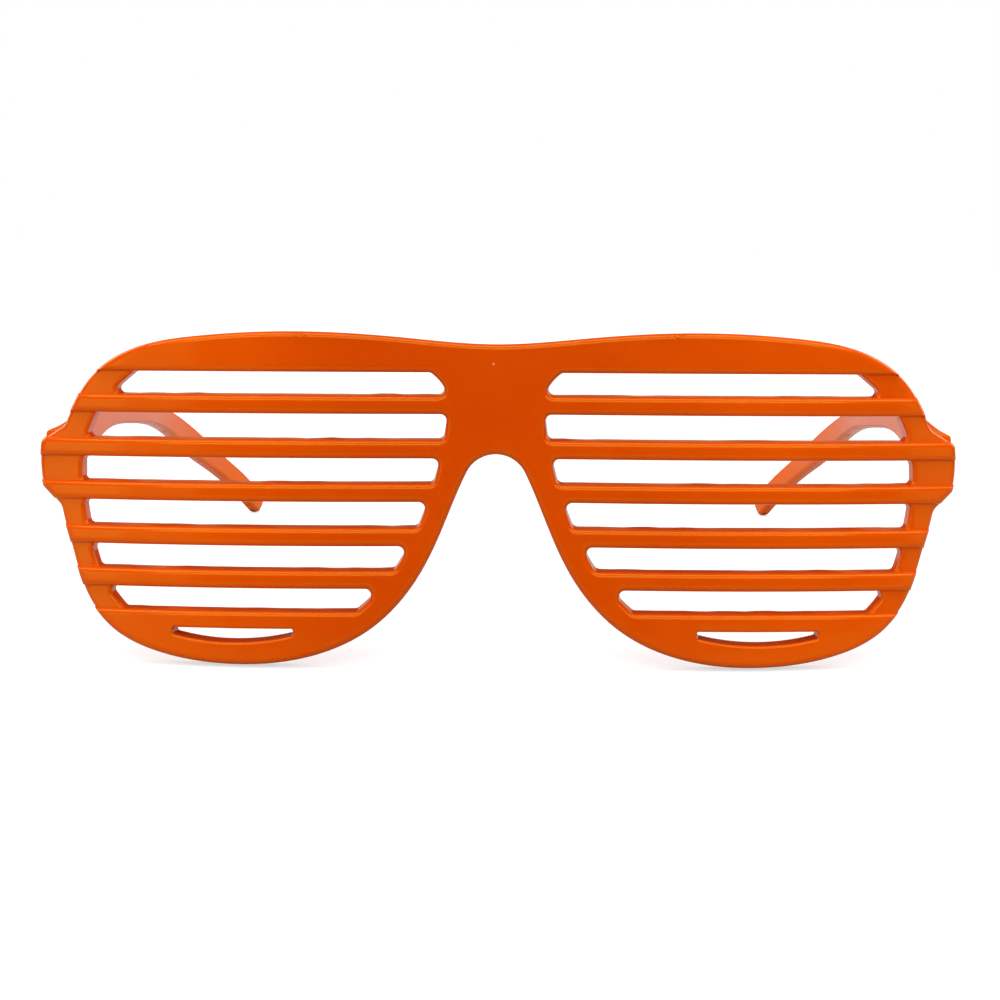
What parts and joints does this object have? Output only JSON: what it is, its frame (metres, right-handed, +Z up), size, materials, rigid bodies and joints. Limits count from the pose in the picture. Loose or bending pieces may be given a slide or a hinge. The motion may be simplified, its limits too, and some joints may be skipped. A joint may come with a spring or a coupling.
{
  "type": "slatted novelty glasses",
  "caption": "Glasses with open horizontal slats instead of lenses, a one-piece bowed front and two curved temples that fold inwards on small sunk metal hinges.",
  "frame": {"origin": "the middle of the glasses' footprint, on the surface that they stand on with open temples", "axes": "+X to the wearer's left, +Y from the front to the temple tips, +Z up; the front stands on its two cheeks and the temples on their tips, so the glasses lean back by 7.2 degrees"},
  "size_m": [0.152, 0.1382, 0.0547],
  "materials": {
    "front_plastic": "polished injection-moulded orange polystyrene, coloured through",
    "temple_plastic": "polished injection-moulded orange polystyrene, coloured through",
    "hinge_metal": "nickel-plated stamped leaf with tumbled edges",
    "screw_metal": "plain steel screw with a slotted head"
  },
  "bodies": {
    "front": {"front_frame": "front_plastic", "left_hinge_front_leaf": "hinge_metal", "left_hinge_screw": "screw_metal", "right_hinge_front_leaf": "hinge_metal", "right_hinge_screw": "screw_metal"},
    "left_temple_arm": {"left_temple": "temple_plastic", "left_hinge_temple_leaf": "hinge_metal"},
    "right_temple_arm": {"right_temple": "temple_plastic", "right_hinge_temple_leaf": "hinge_metal"}
  },
  "joints": [
    {"name": "left_temple_fold", "type": "hinge", "parent": "front", "child": "left_temple_arm", "pos_m": [0.0706, -0.05124, 0.03161], "axis": [0, 0.1228, 0.9924], "range_deg": [0, 85]},
    {"name": "right_temple_fold", "type": "hinge", "parent": "front", "child": "right_temple_arm", "pos_m": [-0.0706, -0.05124, 0.03161], "axis": [0, -0.1228, -0.9924], "range_deg": [0, 80]}
  ]
}
